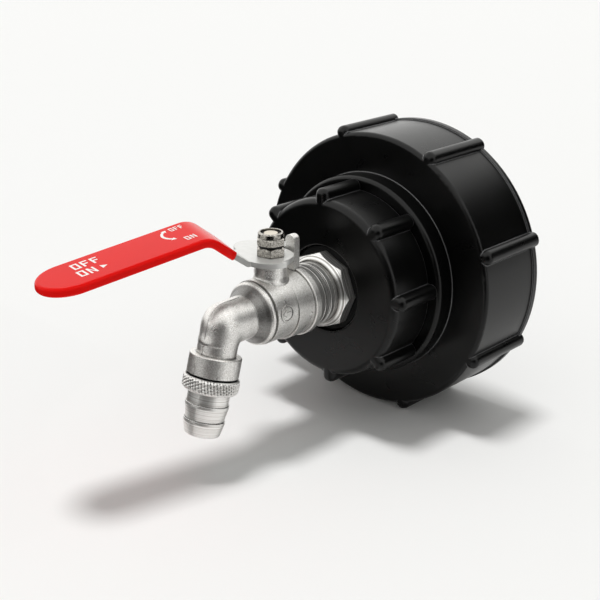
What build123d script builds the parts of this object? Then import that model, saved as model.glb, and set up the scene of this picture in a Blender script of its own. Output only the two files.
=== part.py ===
from build123d import *
from math import cos, radians, sin
import os

# Bulk container tank valve: two coarse-thread caps and a quarter-turn ball tap with a hose tail.
# Millimetres, +Z up. The pipe axis is Y and the tank is on the +Y side. The origin is the centre
# of the tank cap's open mouth. A station is a distance forward of it, towards -Y.

# Clearances. A bore and a shaft that screw together by hand are both drawn at their thread's root.
RUN_GAP = 0.05  # radial, between a turning shaft or ball and its seat
DRAWN_GAP = 0.1  # radial, in a thread or socket that is drawn tight
FACE_GAP = 0.1  # between a loose gasket and each face that it seals
SIDE_GAP = 0.3  # between pieces that move past each other

# Tank cap: a coarse-thread cap for the tank's outlet, with a male neck in front
TANK_THREAD_R = 50.3
TANK_SKIRT_WALL = 6.7
TANK_CAP_LENGTH = 34.0
TANK_CAP_WALL = 4.6
TANK_CAP_EDGE = 1.6
TANK_RIM_HEIGHT = 0.7
TANK_RIM_WIDTH = 2.0
TANK_RIB_HEIGHT = 3.0
TANK_RIB_WIDTH = 6.0
TANK_RIB_PHASE = 18.6
RIB_COUNT = 8
FOOT_R = 41.0
FOOT_HEIGHT = 8.2
FOOT_EDGE = 1.6
NECK_R = 27.4
NECK_LENGTH = 13.3
NECK_BORE_R = 24.0
TANK_SEAL_INSET = 0.6  # the seal's recess is this much smaller than the thread's bore
TANK_SEAL_WIDTH = 9.0
TANK_SEAL_THICKNESS = 3.0

# Small cap: screws onto the neck and carries the tap
CAP_TAPPED_R = 29.8
CAP_SKIRT_WALL = 6.2
CAP_END_WALL = 5.4
CAP_EDGE = 2.6
CAP_RIB_HEIGHT = 4.0
CAP_RIB_WIDTH = 6.0
CAP_RIB_PHASE = 4.5
CAP_SEAL_THICKNESS = 2.2
RECESS_R = 17.5
RECESS_DEPTH = 3.0
CAP_RECESS_EDGE = 0.6
HUB_R = 16.0
HUB_LENGTH = 10.0

# Inlet connector: an octagon with a pipe thread to the cap and a thread into the body
INLET_THREAD_R = 10.4
INLET_THREAD_LENGTH = 11.5
INLET_BORE_R = 7.6
INLET_GASKET_THICKNESS = 1.5
INLET_GASKET_R = 16.8
OCTAGON_CORNER_R = 15.5
OCTAGON_LENGTH = 6.5
OCTAGON_FACE_R = 12.9
SHANK_R = 12.2
SHANK_LENGTH = 9.7
BODY_THREAD_R = 11.0
BODY_SEAL_THICKNESS = 0.8

# Ball, seats and stem
BALL_R = 9.0
PORT_R = 5.0
SEAT_INNER_R = 5.3
SEAT_NEAR = 5.6  # from the ball's centre to a seat's near face
SEAT_FAR = 8.6
CHAMBER_R = 9.9
STEM_FROM_BODY_END = 14.2
SHAFT_R = 4.0
STEM_HEAD_R = 5.3
STEM_HEAD_TOP = 11.2
STEM_HEAD_THICKNESS = 1.8
WASHER_THICKNESS = 0.8
TANG_WIDTH = 6.4
TANG_THICKNESS = 3.0
TANG_DEPTH = 2.2
RING_SECTION_R = 0.6
RING_HEIGHTS = (14.0, 17.0)
FLATS = 6.4
STEM_THREAD_R = 3.0

# Body: the barrel, its stem boss, stop post, elbow and collar are one casting
BEAD_R = 13.7
BEAD_WIDTH = 3.2
BARREL_REAR_R = 12.9
BARREL_REAR_LENGTH = 8.5
FRONT_RISE = 0.6  # the front is left as cast, this far above the machined rear
BARREL_FRONT_R = 12.4
BARREL_FRONT = 8.4  # from the stem axis to the groove
GROOVE_R = 11.2
GROOVE_WIDTH = 0.9
LIP_R = 12.1
LIP_WIDTH = 0.9
LIP_EDGE = 0.8
CREST_R = 10.1
CREST_DEPTH = 1.8
CONE_R = 7.9
CONE_LENGTH = 3.0
STUB_R = 8.3
STUB_STEP = 0.2
BOSS_R = 6.2
BOSS_TOP = 19.2
BOSS_FLARE = 0.7
BOSS_FLARE_HEIGHT = 1.7
CAST_EDGE = 0.5
POST_WIDTH = 4.6
POST_THICKNESS = 3.0
POST_FROM_STEM = 10.2
POST_TOP = 26.6

# Elbow and outlet
WATERWAY_R = 5.2
WATERWAY_BEND_R = 8.5
ELBOW_FROM_STEM = 25.6
SPOUT_R = 7.4
INNER_BEND_R = 0.8
KNEE_SECTIONS = 8
SPOUT_TILT = 15.0
COLLAR_START = 10.2
COLLAR_R = 9.7
COLLAR_LENGTH = 7.4
COLLAR_EDGE = 0.5
TAIL_THREAD_R = 7.2
TAIL_TAPPED_R = 8.2
TAIL_THREAD_LENGTH = 6.0
OUTLET_GASKET_THICKNESS = 0.6
OUTLET_GASKET_R = 9.5
KNURL_R = 9.9
KNURL_LENGTH = 5.6
KNURL_EDGE = 0.7
TAIL_NECK_R = 7.8
TAIL_NECK_LENGTH = 4.6
BARB_R = (8.2, 7.7)
BARB_LAND = 1.0
BARB_PITCH = 6.2
BARB_ROOT_R = 7.2
TAIL_NOSE_LENGTH = 5.8
TAIL_END_R = 6.6
TAIL_BORE_R = 4.9
TAIL_EDGE = 0.6

# Lever: a bent steel plate with a dipped vinyl sleeve, clamped on the stem by two nuts
LEVER_SKEW = 12.0  # the grip lies this far to the side of the ball's port
FOLD_SKEW = 21.0  # and the two bends are turned this far, so they cross the plate at a slant
PLATE_TOP = 21.4
PLATE_THICKNESS = 1.9
PLATE_WIDTH = 22.0
PLATE_OFFSET = 0.8  # the grip's middle line lies this far to the far side of the stem
NECK_INSET = 7.2  # how far the plate's near edge is stepped in at the fold
NECK_TO_GRIP = 13.0  # from the fold to where the plate has its full width
NECK_BEND_R = 12.0
HUB_PLATE_R = 11.0
NOTCH_R = 8.6
EAR_R = 6.4
EAR_CENTRE = (-12.6, 2.0)
STOP_REACH = 15.0
STOP_WIDTH = 8.0
STOP_CORNER_R = 1.5
FOLD_OUT = 11.1
BEND_OUT = 29.8
BEND_RISE = 14.45
GRIP_REACH = 90.9  # from the stem to the tip, seen from above
GRIP_DROP = 8.6
FOLD_R = 4.0
BEND_R = 8.0
SLEEVE_WALL = 0.7
SLEEVE_START = 13.0  # along the slope, back from the bend
SLEEVE_EDGE = 1.2
NUT_FLATS = 10.0
NUT_HEIGHT = 3.5
NUT_PHASE = -46.7
NUT_CHAMFER = 0.7
SPRING_WASHER_R = 4.7
SPRING_WASHER_THICKNESS = 0.8
SPRING_WASHER_SPLIT = 1.0
LOCK_NUT_HEX = 2.7
LOCK_NUT_COLLAR = 1.9
LOCK_NUT_COLLAR_R = 4.85
LOCK_NUT_MOUTH_R = 3.9
LOCK_NUT_COLLAR_EDGE = 0.6
INSERT_HEIGHT = 1.2
STEM_PAST_NUT = 0.4  # the stem ends this far below the lock nut's top

# Cap radii, worked out from the threads
TANK_CAP_R = TANK_THREAD_R + TANK_SKIRT_WALL
TANK_SEAL_R = TANK_THREAD_R - TANK_SEAL_INSET
CAP_R = CAP_TAPPED_R + CAP_SKIRT_WALL

# Stations along the pipe, worked out from tank to spout
TANK_FACE = TANK_CAP_LENGTH
FOOT_FACE = TANK_FACE + FOOT_HEIGHT
NECK_END = FOOT_FACE + NECK_LENGTH
CAP_BACK = FOOT_FACE + SIDE_GAP
CAP_INNER = NECK_END + CAP_SEAL_THICKNESS + 2 * FACE_GAP
CAP_FRONT = CAP_INNER + CAP_END_WALL
RECESS_FLOOR = CAP_FRONT - RECESS_DEPTH
OCTAGON_BACK = RECESS_FLOOR + INLET_GASKET_THICKNESS
OCTAGON_FRONT = OCTAGON_BACK + OCTAGON_LENGTH
SHANK_END = OCTAGON_FRONT + SHANK_LENGTH
BODY_BACK = SHANK_END + BODY_SEAL_THICKNESS
STEM = BODY_BACK + STEM_FROM_BODY_END
GROOVE = STEM + BARREL_FRONT
LIP = GROOVE + GROOVE_WIDTH
SHOULDER = LIP + LIP_WIDTH
CREST = SHOULDER + CREST_DEPTH
NOSE = STEM - SEAT_FAR
ELBOW = STEM + ELBOW_FROM_STEM

# Distances down the spout from the elbow's corner
COLLAR_END = COLLAR_START + COLLAR_LENGTH
TAIL_FACE = COLLAR_END + OUTLET_GASKET_THICKNESS + 2 * FACE_GAP
KNURL_END = TAIL_FACE + KNURL_LENGTH
FIRST_BARB = KNURL_END + TAIL_NECK_LENGTH
LAST_BARB = FIRST_BARB + BARB_PITCH
TAIL_END = LAST_BARB + TAIL_NOSE_LENGTH

# Heights up the stem
PLATE_BOTTOM = PLATE_TOP - PLATE_THICKNESS
HANDLE_NUT_TOP = PLATE_TOP + NUT_HEIGHT
SPRING_WASHER_TOP = HANDLE_NUT_TOP + SPRING_WASHER_THICKNESS
LOCK_NUT_SHOULDER = SPRING_WASHER_TOP + LOCK_NUT_HEX
LOCK_NUT_TOP = LOCK_NUT_SHOULDER + LOCK_NUT_COLLAR
STEM_TOP = LOCK_NUT_TOP - STEM_PAST_NUT

# Frames: local Z runs forward along the pipe, up the stem, or down the spout
PIPE = Plane(origin=(0, 0, 0), x_dir=(1, 0, 0), z_dir=(0, -1, 0))
FRONT = Plane(origin=(0, 0, FRONT_RISE), x_dir=(1, 0, 0), z_dir=(0, -1, 0))
STEM_FRAME = Plane(origin=(0, -STEM, 0), x_dir=(1, 0, 0), z_dir=(0, 0, 1))
SPOUT = Plane(
    origin=(0, -ELBOW, 0),
    x_dir=(1, 0, 0),
    z_dir=(0, -sin(radians(SPOUT_TILT)), -cos(radians(SPOUT_TILT))),
)
LEVER = Plane(
    origin=(0, -STEM, 0),
    x_dir=(-sin(radians(FOLD_SKEW)), -cos(radians(FOLD_SKEW)), 0),
    z_dir=(0, 0, 1),
)


def turned(frame, outline, rounds=None):
    """Revolve a closed outline of (radius, distance) points about a frame's Z axis.

    rounds gives the fillet radius of an outline point by its index.
    """
    face = make_face(Polyline(*outline, close=True))
    for index, radius in (rounds or {}).items():
        corner = face.vertices().sort_by_distance(Vector(*outline[index]))[0]
        face = fillet(corner, radius)
    return frame * revolve(Plane.XZ * face, Axis.Z)


def ring(frame, inner, outer, start, end):
    """A plain ring between two distances along a frame's Z axis."""
    return turned(frame, [(inner, start), (outer, start), (outer, end), (inner, end)])


def disc(frame, radius, start, end):
    """A plain cylinder between two distances along a frame's Z axis."""
    return frame * Pos(0, 0, start) * extrude(Circle(radius), end - start)


def prism(frame, corner_radius, sides, phase, start, end):
    """A regular prism whose first corner is at an angle from the frame's X axis."""
    face = Rot(0, 0, phase) * RegularPolygon(corner_radius, sides)
    return frame * Pos(0, 0, start) * extrude(face, end - start)


def grip_ribs(radius, height, width, phase, start, end):
    """The moulded grip ribs round a cap, each rounded along its top and at its front end."""
    root = radius - width / 2
    middle = Pos((root + radius + height) / 2, 0, (start + end) / 2)
    rib = middle * Box(radius + height - root, width, end - start)
    top = rib.faces().sort_by(Axis.X)[-1]
    rib = fillet(top.edges().filter_by(Axis.Z), width * 0.45)
    front = rib.faces().sort_by(Axis.Z)[-1]
    rib = fillet(front.edges().sort_by(Axis.X)[1:], width * 0.4)
    step = 360 / RIB_COUNT
    return [PIPE * Rot(0, 0, phase + step * index) * rib for index in range(RIB_COUNT)]


def tank_cap():
    """The large cap: threaded skirt, end wall, stepped foot and the male neck, one moulding."""
    wall_back = TANK_FACE - TANK_CAP_WALL
    rim = TANK_CAP_R + TANK_RIM_HEIGHT
    outline = [
        (TANK_THREAD_R, 0),
        (rim, 0),
        (rim, TANK_RIM_WIDTH),
        (TANK_CAP_R, TANK_RIM_WIDTH),
        (TANK_CAP_R, TANK_FACE),
        (FOOT_R, TANK_FACE),
        (FOOT_R, FOOT_FACE),
        (NECK_R, FOOT_FACE),
        (NECK_R, NECK_END),
        (NECK_BORE_R, NECK_END),
        (NECK_BORE_R, wall_back),
        (TANK_SEAL_R, wall_back),
        (TANK_SEAL_R, wall_back - TANK_SEAL_THICKNESS),
        (TANK_THREAD_R, wall_back - TANK_SEAL_THICKNESS),
    ]
    cap = turned(PIPE, outline, {4: TANK_CAP_EDGE, 6: FOOT_EDGE})
    for rib in grip_ribs(TANK_CAP_R, TANK_RIB_HEIGHT, TANK_RIB_WIDTH, TANK_RIB_PHASE, 0, TANK_FACE):
        cap += rib
    return cap


def tank_seal():
    """The flat rubber ring that the tank's outlet presses against the end wall."""
    outer = TANK_SEAL_R - DRAWN_GAP
    face = TANK_FACE - TANK_CAP_WALL
    return ring(PIPE, outer - TANK_SEAL_WIDTH, outer, face - TANK_SEAL_THICKNESS, face)


def small_cap():
    """The cap on the neck, with a recessed face and a threaded hub for the tap inside it."""
    tapped = INLET_THREAD_R + DRAWN_GAP
    outline = [
        (CAP_TAPPED_R, CAP_BACK),
        (CAP_R, CAP_BACK),
        (CAP_R, CAP_FRONT),
        (RECESS_R, CAP_FRONT),
        (RECESS_R, RECESS_FLOOR),
        (tapped, RECESS_FLOOR),
        (tapped, CAP_INNER - HUB_LENGTH),
        (HUB_R, CAP_INNER - HUB_LENGTH),
        (HUB_R, CAP_INNER),
        (CAP_TAPPED_R, CAP_INNER),
    ]
    cap = turned(PIPE, outline, {2: CAP_EDGE, 3: CAP_RECESS_EDGE})
    for rib in grip_ribs(CAP_R, CAP_RIB_HEIGHT, CAP_RIB_WIDTH, CAP_RIB_PHASE, CAP_BACK, CAP_FRONT):
        cap += rib
    return cap


def cap_seal():
    """The flat rubber ring between the neck's end and the small cap."""
    start = NECK_END + FACE_GAP
    return ring(PIPE, NECK_BORE_R, NECK_R, start, start + CAP_SEAL_THICKNESS)


def inlet_gasket():
    """The rubber ring under the octagon, in the small cap's recess."""
    inner = INLET_THREAD_R + DRAWN_GAP
    return ring(PIPE, inner, INLET_GASKET_R, RECESS_FLOOR, OCTAGON_BACK)


def inlet_connector():
    """The brass connector: pipe thread, octagon, shank, and the nose that holds the rear seat."""
    start = OCTAGON_BACK - INLET_THREAD_LENGTH
    outline = [
        (INLET_BORE_R, start),
        (INLET_THREAD_R, start),
        (INLET_THREAD_R, OCTAGON_BACK),
        (SHANK_R, OCTAGON_BACK),
        (SHANK_R, SHANK_END),
        (BODY_THREAD_R, SHANK_END),
        (BODY_THREAD_R, NOSE),
        (SEAT_INNER_R, NOSE),
        (SEAT_INNER_R, SHANK_END),
        (INLET_BORE_R, OCTAGON_FRONT),
    ]
    chamfer = OCTAGON_CORNER_R - OCTAGON_FACE_R
    collar = turned(PIPE, [
        (INLET_BORE_R, OCTAGON_BACK),
        (OCTAGON_CORNER_R, OCTAGON_BACK),
        (OCTAGON_CORNER_R, OCTAGON_FRONT - chamfer),
        (OCTAGON_FACE_R, OCTAGON_FRONT),
        (INLET_BORE_R, OCTAGON_FRONT),
    ])
    octagon = prism(PIPE, OCTAGON_CORNER_R, 8, 0, OCTAGON_BACK, OCTAGON_FRONT)
    return turned(PIPE, outline) + (collar & octagon)


def body_seal():
    """The thin ring between the connector's shoulder and the body."""
    return ring(PIPE, BODY_THREAD_R + DRAWN_GAP, SHANK_R - DRAWN_GAP, SHANK_END, BODY_BACK)


def waterway(radius, start, end):
    """A round bar along the pipe axis and down the spout, from a station to a spout distance."""
    path = FilletPolyline(
        (0, -start, 0),
        (0, -ELBOW, 0),
        SPOUT.from_local_coords(Vector(0, 0, end)),
        radius=WATERWAY_BEND_R,
    )
    return sweep(Plane(path @ 0, z_dir=path % 0) * Circle(radius), path)


def barrel(stub_end):
    """The body's outside: the machined rear with its bead, and the cast front down to its stub."""
    bead_end = BODY_BACK + BEAD_WIDTH
    step = bead_end + BARREL_REAR_LENGTH
    rear = [
        (0, BODY_BACK),
        (BEAD_R, BODY_BACK),
        (BEAD_R, bead_end),
        (BARREL_REAR_R, bead_end),
        (BARREL_REAR_R, step),
        (0, step),
    ]
    cone_end = CREST + CONE_LENGTH
    front = [
        (0, bead_end),
        (BARREL_FRONT_R - FRONT_RISE, bead_end),
        (BARREL_FRONT_R - FRONT_RISE, step),
        (BARREL_FRONT_R, step),
        (BARREL_FRONT_R, GROOVE),
        (GROOVE_R, GROOVE),
        (GROOVE_R, LIP),
        (LIP_R, LIP),
        (LIP_R, SHOULDER),
        (CREST_R, CREST),
        (CONE_R, cone_end),
        (STUB_R, cone_end + STUB_STEP),
        (STUB_R, stub_end),
        (0, stub_end),
    ]
    return turned(PIPE, rear, {1: CAST_EDGE, 2: CAST_EDGE}) + turned(FRONT, front, {8: LIP_EDGE})


def spout_point(forward, height):
    """The point at a height that lies so far in front of the spout's axis."""
    tilt = radians(SPOUT_TILT)
    distance = (forward * sin(tilt) - height) / cos(tilt)
    return SPOUT.from_local_coords(Vector(0, forward, distance))


def elbow():
    """The elbow: round sections fanned from its inner corner to its ball-shaped outside."""
    corner = spout_point(-SPOUT_R - INNER_BEND_R, FRONT_RISE - STUB_R - INNER_BEND_R)
    top = FRONT_RISE + STUB_R
    outside = FilletPolyline(
        (0, corner.Y, top),
        spout_point(SPOUT_R, top),
        corner + SPOUT.y_dir * (2 * SPOUT_R + INNER_BEND_R),
        radius=STUB_R,
    )
    sections = []
    for index in range(KNEE_SECTIONS + 1):
        share = index / KNEE_SECTIONS
        outer = outside @ share
        out = (outer - corner).normalized()
        inner = corner + out * INNER_BEND_R
        half = (outer - inner).length / 2
        half_width = min(half, STUB_R + (SPOUT_R - STUB_R) * share)
        frame = Plane(origin=(inner + outer) / 2, x_dir=out, z_dir=Vector(1, 0, 0).cross(out))
        sections.append(frame * Ellipse(half, half_width))
    spout_start = SPOUT.to_local_coords(corner).Z
    tube = disc(SPOUT, SPOUT_R, spout_start, COLLAR_START)
    return barrel(-corner.Y) + loft(sections) + tube


def stem_boss():
    """The upright boss round the stem, flared where it meets the barrel."""
    flare_top = BARREL_REAR_R + BOSS_FLARE
    outline = [
        (0, 0),
        (BOSS_R + BOSS_FLARE, 0),
        (BOSS_R + BOSS_FLARE, flare_top - BOSS_FLARE_HEIGHT),
        (BOSS_R, flare_top),
        (BOSS_R, BOSS_TOP),
        (0, BOSS_TOP),
    ]
    return turned(STEM_FRAME, outline, {3: BOSS_FLARE})


def stop_post():
    """The cast post behind the stem that the lever plate's notch turns against."""
    foot = CHAMBER_R + 1
    centre = Pos(0, POST_FROM_STEM + POST_THICKNESS / 2, (foot + POST_TOP) / 2)
    post = centre * Box(POST_WIDTH, POST_THICKNESS, POST_TOP - foot)
    top = post.faces().sort_by(Axis.Z)[-1]
    return STEM_FRAME * fillet(top.edges().filter_by(Axis.Y), POST_WIDTH * 0.46)


def valve_body():
    """The cast body: barrel, boss, post, elbow and collar, bored for the ball, stem and tail."""
    collar = turned(
        SPOUT,
        [(0, COLLAR_START), (COLLAR_R, COLLAR_START), (COLLAR_R, COLLAR_END), (0, COLLAR_END)],
        {1: COLLAR_EDGE},
    )
    cast = elbow() + stem_boss() + stop_post() + collar
    head_top = STEM_HEAD_TOP + FACE_GAP + WASHER_THICKNESS
    cast -= disc(PIPE, BODY_THREAD_R + DRAWN_GAP, BODY_BACK, NOSE + DRAWN_GAP)
    cast -= disc(PIPE, CHAMBER_R, BODY_BACK, STEM + SEAT_FAR)
    cast -= disc(STEM_FRAME, SHAFT_R + RUN_GAP, 0, BOSS_TOP)
    cast -= disc(STEM_FRAME, STEM_HEAD_R + DRAWN_GAP, 0, head_top)
    cast -= waterway(WATERWAY_R, STEM, COLLAR_END)
    tapped_start = TAIL_FACE - TAIL_THREAD_LENGTH - SIDE_GAP
    cast -= disc(SPOUT, TAIL_TAPPED_R, tapped_start, COLLAR_END)
    return cast


def ball():
    """The ball: a port along the pipe when open, and a slot on top for the stem's tang."""
    slot_floor = BALL_R - TANG_DEPTH - SIDE_GAP
    slot = Pos(0, 0, slot_floor + BALL_R / 2) * Box(
        2 * BALL_R, TANG_THICKNESS + 2 * DRAWN_GAP, BALL_R
    )
    return STEM_FRAME * (Sphere(BALL_R) - slot) - disc(PIPE, PORT_R, STEM - BALL_R, STEM + BALL_R)


def seat(side):
    """A white seat ring hollowed to the ball; side is 1 in front of the ball and -1 behind it."""
    near, far = sorted((STEM + side * SEAT_NEAR, STEM + side * SEAT_FAR))
    blank = ring(PIPE, SEAT_INNER_R, CHAMBER_R - DRAWN_GAP, near, far)
    return blank - STEM_FRAME * Sphere(BALL_R + RUN_GAP)


def stem():
    """The stem: tang in the ball, head, grooved shaft, two flats for the plate and a thread."""
    foot = STEM_HEAD_TOP - STEM_HEAD_THICKNESS
    outline = [
        (0, foot),
        (STEM_HEAD_R, foot),
        (STEM_HEAD_R, STEM_HEAD_TOP),
        (SHAFT_R, STEM_HEAD_TOP),
        (SHAFT_R, PLATE_BOTTOM),
        (0, PLATE_BOTTOM),
    ]
    shaft = turned(STEM_FRAME, outline)
    tang_foot = BALL_R - TANG_DEPTH
    tang = Pos(0, 0, (tang_foot + foot) / 2) * Box(TANG_WIDTH, TANG_THICKNESS, foot - tang_foot)
    shaft += STEM_FRAME * tang
    for height in RING_HEIGHTS:
        half = RING_SECTION_R + DRAWN_GAP
        floor = SHAFT_R - 2 * RING_SECTION_R - RUN_GAP
        shaft -= ring(STEM_FRAME, floor, SHAFT_R + 1, height - half, height + half)
    shaft += stem_flats(0, PLATE_BOTTOM, PLATE_TOP - DRAWN_GAP)
    edge = STEM_THREAD_R / 6
    thread = turned(
        STEM_FRAME,
        [
            (0, PLATE_BOTTOM),
            (STEM_THREAD_R, PLATE_BOTTOM),
            (STEM_THREAD_R, STEM_TOP - edge),
            (STEM_THREAD_R - edge, STEM_TOP),
            (0, STEM_TOP),
        ],
    )
    return shaft + thread


def stem_flats(gap, start, end):
    """The stem's two-flat section, or with a gap the hole that fits it."""
    block = Rot(0, 0, -LEVER_SKEW) * Box(2 * SHAFT_R, FLATS + 2 * gap, 2 * POST_TOP)
    return disc(STEM_FRAME, SHAFT_R - DRAWN_GAP + gap, start, end) & (STEM_FRAME * block)


def stem_washer():
    """The white thrust washer over the stem's head."""
    start = STEM_HEAD_TOP + FACE_GAP
    return ring(STEM_FRAME, SHAFT_R + DRAWN_GAP, STEM_HEAD_R, start, start + WASHER_THICKNESS)


def stem_ring(height):
    """A rubber ring in one of the shaft's grooves."""
    centre = SHAFT_R - RING_SECTION_R
    return STEM_FRAME * Pos(0, 0, height) * Torus(centre, RING_SECTION_R)


def lever_line(start_on_slope=False):
    """The middle line of the bent lever, as (out from the stem, height) in the lever's plane."""
    middle = PLATE_TOP - PLATE_THICKNESS / 2
    drop = radians(GRIP_DROP)
    fold = Vector(FOLD_OUT, middle)
    bend = Vector(BEND_OUT, middle + BEND_RISE)
    tip = bend + Vector(cos(drop), -sin(drop)) * GRIP_REACH
    if start_on_slope:
        start = bend + (fold - bend).normalized() * SLEEVE_START
        return FilletPolyline(start, bend, tip, radius=BEND_R)
    return FilletPolyline((-PLATE_WIDTH * 2, middle), fold, bend, tip, radius=(FOLD_R, BEND_R))


def bent_sheet(line, thickness, width):
    """A sheet of a given thickness that follows a lever line, much wider than the lever."""
    return LEVER * extrude(Plane.XZ * trace(line, thickness), width, both=True)


def arm_plan(extra):
    """The lever's arm seen from above, narrow at the fold and with a full round tip."""
    tip = GRIP_REACH - PLATE_WIDTH / 2
    half = PLATE_WIDTH / 2 + extra
    widest = (FOLD_OUT + NECK_TO_GRIP, half)
    edges = Polyline(
        (0, -half),
        (tip, -half),
        (tip, half),
        widest,
        (FOLD_OUT, half - NECK_INSET),
        (0, half - NECK_INSET),
        close=True,
    )
    neck = make_face(edges)
    neck = fillet(neck.vertices().sort_by_distance(Vector(*widest))[0], NECK_BEND_R)
    arm = neck + Pos(tip, 0) * Circle(half)
    return Rot(0, 0, -90 - LEVER_SKEW) * Pos(0, -PLATE_OFFSET) * arm


def lever_plate():
    """The steel lever: a hub with a quarter-turn notch and an ear, a sloped arm and the grip."""
    hub = make_hull((Circle(HUB_PLATE_R) + Pos(*EAR_CENTRE) * Circle(EAR_R)).edges())
    side = POST_WIDTH / 2 + SIDE_GAP
    stop = Pos(-side - STOP_WIDTH / 2, STOP_REACH / 2) * RectangleRounded(
        STOP_WIDTH, STOP_REACH, STOP_CORNER_R
    )
    reach = 2 * HUB_PLATE_R
    notch = Pos(reach / 2 - side, reach / 2 - side) * Rectangle(reach, reach)
    plan = hub + stop + arm_plan(0) - (notch - Circle(NOTCH_R))
    blank = STEM_FRAME * extrude(plan, 2 * (PLATE_TOP + BEND_RISE))
    plate = bent_sheet(lever_line(), PLATE_THICKNESS, 2 * PLATE_WIDTH) & blank
    return plate - stem_flats(DRAWN_GAP / 2, PLATE_BOTTOM - 1, PLATE_TOP + 1)


def lever_sleeve(plate):
    """The dipped vinyl sleeve round the grip, with soft edges and a straight end on the slope."""
    thickness = PLATE_THICKNESS + 2 * SLEEVE_WALL
    blank = STEM_FRAME * extrude(arm_plan(SLEEVE_WALL), 2 * (PLATE_TOP + BEND_RISE))
    line = lever_line(start_on_slope=True)
    sleeve = bent_sheet(line, thickness, 2 * PLATE_WIDTH) & blank
    start = line @ 0
    cut_end = sleeve.faces().sort_by_distance(LEVER.from_local_coords((start.X, 0, start.Y)))[0]
    rim = ShapeList()
    for face in sleeve.faces():
        if abs(face.normal_at().Z) < 0.01:
            rim += face.edges().filter_by(Axis.Z, reverse=True)
    return fillet(rim - cut_end.edges(), SLEEVE_EDGE) - plate


def nut_blank(start, end):
    """A hexagon nut without its hole, its corners taken off at the top and below."""
    corner = NUT_FLATS / 2 / cos(radians(30))
    inner = NUT_FLATS / 2 - NUT_CHAMFER / 2
    outline = [
        (0, start),
        (inner + NUT_CHAMFER, start),
        (corner, start + NUT_CHAMFER),
        (corner, end - NUT_CHAMFER),
        (inner, end),
        (0, end),
    ]
    return turned(STEM_FRAME, outline) & prism(STEM_FRAME, corner, 6, NUT_PHASE, start, end)


def handle_nut():
    """The nut that clamps the plate on the stem."""
    hole = disc(STEM_FRAME, STEM_THREAD_R + DRAWN_GAP, PLATE_TOP, HANDLE_NUT_TOP)
    return nut_blank(PLATE_TOP, HANDLE_NUT_TOP) - hole


def spring_washer():
    """The split washer between the two nuts."""
    blank = ring(
        STEM_FRAME, STEM_THREAD_R + DRAWN_GAP, SPRING_WASHER_R, HANDLE_NUT_TOP, SPRING_WASHER_TOP
    )
    middle = (HANDLE_NUT_TOP + SPRING_WASHER_TOP) / 2
    cut = Pos(-SPRING_WASHER_R, 0, middle) * Box(
        2 * SPRING_WASHER_R, SPRING_WASHER_SPLIT, 2 * SPRING_WASHER_THICKNESS
    )
    return blank - STEM_FRAME * cut


def lock_nut():
    """The lock nut: a hexagon with a round collar on top that holds a nylon ring."""
    collar = turned(
        STEM_FRAME,
        [
            (0, LOCK_NUT_SHOULDER),
            (LOCK_NUT_COLLAR_R, LOCK_NUT_SHOULDER),
            (LOCK_NUT_COLLAR_R, LOCK_NUT_TOP),
            (0, LOCK_NUT_TOP),
        ],
        {2: LOCK_NUT_COLLAR_EDGE},
    )
    nut = nut_blank(SPRING_WASHER_TOP, LOCK_NUT_SHOULDER) + collar
    nut -= disc(STEM_FRAME, STEM_THREAD_R + DRAWN_GAP, SPRING_WASHER_TOP, LOCK_NUT_TOP)
    return nut - disc(STEM_FRAME, LOCK_NUT_MOUTH_R, LOCK_NUT_SHOULDER, LOCK_NUT_TOP)


def nylon_insert():
    """The nylon ring inside the lock nut's collar."""
    inner = STEM_THREAD_R + DRAWN_GAP
    top = LOCK_NUT_SHOULDER + INSERT_HEIGHT
    return ring(STEM_FRAME, inner, LOCK_NUT_MOUTH_R - DRAWN_GAP, LOCK_NUT_SHOULDER, top)


def outlet_gasket():
    """The black ring between the body's collar and the knurled flange."""
    start = COLLAR_END + FACE_GAP
    inner = TAIL_THREAD_R + SIDE_GAP
    return ring(SPOUT, inner, OUTLET_GASKET_R, start, start + OUTLET_GASKET_THICKNESS)


def hose_tail():
    """The hose tail: a thread into the collar, a flange to turn it by, and two barbs."""
    outline = [
        (TAIL_BORE_R, TAIL_FACE - TAIL_THREAD_LENGTH),
        (TAIL_THREAD_R, TAIL_FACE - TAIL_THREAD_LENGTH),
        (TAIL_THREAD_R, TAIL_FACE),
        (KNURL_R, TAIL_FACE),
        (KNURL_R, KNURL_END),
        (TAIL_NECK_R, KNURL_END),
        (TAIL_NECK_R, FIRST_BARB),
        (BARB_R[0], FIRST_BARB),
        (BARB_R[0], FIRST_BARB + BARB_LAND),
        (BARB_ROOT_R, LAST_BARB),
        (BARB_R[1], LAST_BARB),
        (BARB_R[1], LAST_BARB + BARB_LAND),
        (TAIL_END_R, TAIL_END),
        (TAIL_BORE_R, TAIL_END),
    ]
    return turned(SPOUT, outline, {4: KNURL_EDGE, 12: TAIL_EDGE})


plate = lever_plate()
parts = {
    "tank_cap": tank_cap(),
    "tank_seal": tank_seal(),
    "small_cap": small_cap(),
    "cap_seal": cap_seal(),
    "inlet_gasket": inlet_gasket(),
    "inlet_connector": inlet_connector(),
    "body_seal": body_seal(),
    "valve_body": valve_body(),
    "ball": ball(),
    "front_seat": seat(1),
    "rear_seat": seat(-1),
    "stem": stem(),
    "stem_washer": stem_washer(),
    "lower_stem_ring": stem_ring(RING_HEIGHTS[0]),
    "upper_stem_ring": stem_ring(RING_HEIGHTS[1]),
    "lever_plate": plate,
    "lever_sleeve": lever_sleeve(plate),
    "handle_nut": handle_nut(),
    "spring_washer": spring_washer(),
    "lock_nut": lock_nut(),
    "nylon_insert": nylon_insert(),
    "outlet_gasket": outlet_gasket(),
    "hose_tail": hose_tail(),
}

os.makedirs("parts", exist_ok=True)
for name, shape in parts.items():
    export_step(shape, f"parts/{name}.step")
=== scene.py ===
"""Container tank valve: two coarse-thread caps and a lever ball tap, dressed for a product shot."""

import math

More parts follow.
